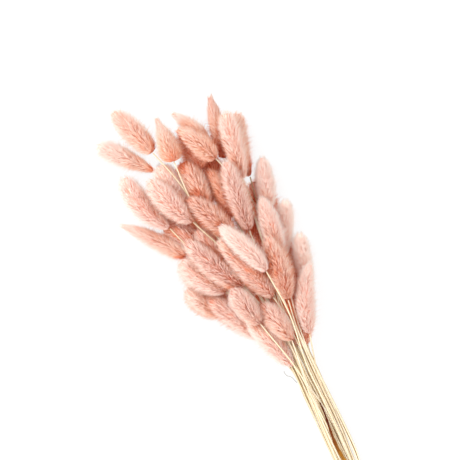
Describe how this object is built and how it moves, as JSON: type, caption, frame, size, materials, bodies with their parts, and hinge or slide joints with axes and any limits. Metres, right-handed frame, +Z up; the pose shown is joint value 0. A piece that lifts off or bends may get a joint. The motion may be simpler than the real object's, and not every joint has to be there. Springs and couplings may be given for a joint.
{
  "type": "dried bunny tail grass bunch",
  "caption": "Bunch of pink-dyed bunny tail grass lying flat: soft furry oval heads fanned out on bare straw stems, bound by an elastic band near the cut ends.",
  "frame": {"origin": "middle of the bunch's outline in plan, on the surface that it lies on", "axes": "+X along the bunch from the cut stem ends to the heads, +Y across it, +Z up from the surface"},
  "size_m": [0.4524, 0.1374, 0.0673],
  "materials": {
    "dyed_fur": "soft hairy flower head, dyed pale pink",
    "straw": "smooth dry grass straw",
    "natural_rubber": "matt tan elastic",
    "dry_leaf": "papery brown leaf"
  },
  "bodies": {
    "root": {"head_01": "dyed_fur", "head_02": "dyed_fur", "head_03": "dyed_fur", "head_04": "dyed_fur", "head_05": "dyed_fur", "head_06": "dyed_fur", "head_07": "dyed_fur", "head_08": "dyed_fur", "head_09": "dyed_fur", "head_10": "dyed_fur", "head_11": "dyed_fur", "head_12": "dyed_fur", "head_13": "dyed_fur", "head_14": "dyed_fur", "head_15": "dyed_fur", "head_16": "dyed_fur", "head_17": "dyed_fur", "head_18": "dyed_fur", "head_19": "dyed_fur", "head_20": "dyed_fur", "head_21": "dyed_fur", "head_22": "dyed_fur", "head_23": "dyed_fur", "head_24": "dyed_fur", "head_25": "dyed_fur", "head_26": "dyed_fur", "head_27": "dyed_fur", "head_28": "dyed_fur", "head_29": "dyed_fur", "head_30": "dyed_fur", "head_31": "dyed_fur", "head_32": "dyed_fur", "head_33": "dyed_fur", "head_34": "dyed_fur", "head_35": "dyed_fur", "head_36": "dyed_fur", "head_37": "dyed_fur", "head_38": "dyed_fur", "head_39": "dyed_fur", "head_40": "dyed_fur", "head_41": "dyed_fur", "head_42": "dyed_fur", "head_43": "dyed_fur", "head_44": "dyed_fur", "head_45": "dyed_fur", "head_46": "dyed_fur", "stems_01": "straw", "stems_02": "straw", "stems_03": "straw", "stems_04": "straw", "stems_05": "straw", "stems_06": "straw", "stems_07": "straw", "stems_08": "straw", "stems_09": "straw", "stems_10": "straw", "stems_11": "straw", "stems_12": "straw", "elastic_band": "natural_rubber", "dry_leaf": "dry_leaf"}
  },
  "joints": []
}
